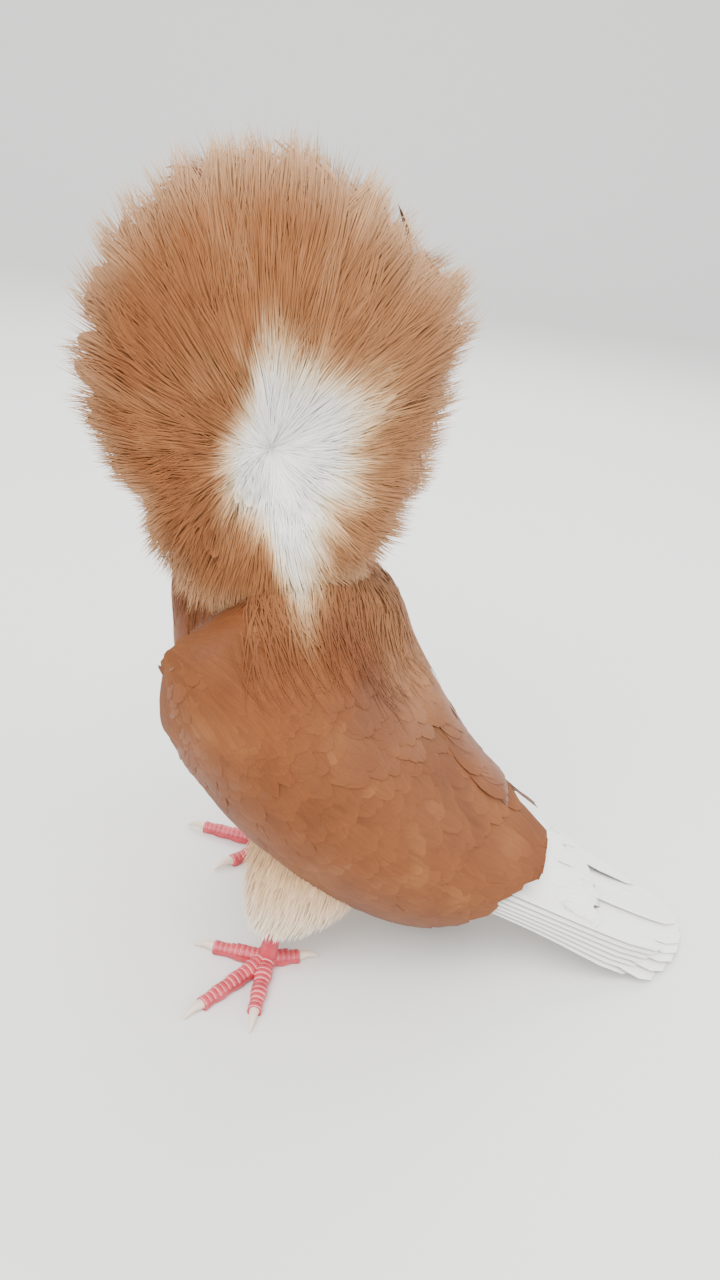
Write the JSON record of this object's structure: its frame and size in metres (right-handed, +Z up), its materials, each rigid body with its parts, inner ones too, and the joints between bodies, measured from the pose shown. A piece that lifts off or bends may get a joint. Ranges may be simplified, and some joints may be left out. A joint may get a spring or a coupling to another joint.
{
  "type": "jacobin pigeon",
  "caption": "Life-size standing jacobin pigeon with a round hood of long feathers about its head, folded wings, white tail and scaled red feet.",
  "frame": {"origin": "middle of the bounding box on the floor under the standing bird", "axes": "+Z up, the bird looks along -Y, its left side is at +X"},
  "size_m": [0.1418, 0.256, 0.2987],
  "materials": {
    "rust_feather": "soft matte tan to rust feather",
    "white_feather": "soft matte white feather",
    "cream_down": "fluffy matte cream down",
    "scaled_skin": "satin red scaled skin",
    "pale_horn": "satin pale horn",
    "pearl_eye": "wet pearl eye with a dark pupil",
    "chalky_cere": "dry chalky white cere"
  },
  "bodies": {
    "root": {"torso": "rust_feather", "neck": "rust_feather", "head": "white_feather", "bill_upper": "pale_horn", "bill_lower": "pale_horn", "eye_left": "pearl_eye", "eye_right": "pearl_eye", "cere": "chalky_cere", "hood_left": "rust_feather", "hood_right": "rust_feather", "mane_left": "rust_feather", "mane_right": "rust_feather", "chain_left": "rust_feather", "chain_right": "rust_feather", "wing_left": "rust_feather", "wing_right": "rust_feather", "primaries_left": "white_feather", "primaries_right": "white_feather", "tail": "white_feather", "thigh_left": "cream_down", "thigh_right": "cream_down", "foot_left": "scaled_skin", "foot_right": "scaled_skin", "claw_left_1": "pale_horn", "claw_left_2": "pale_horn", "claw_left_3": "pale_horn", "claw_left_4": "pale_horn", "claw_right_1": "pale_horn", "claw_right_2": "pale_horn", "claw_right_3": "pale_horn", "claw_right_4": "pale_horn"}
  },
  "joints": []
}
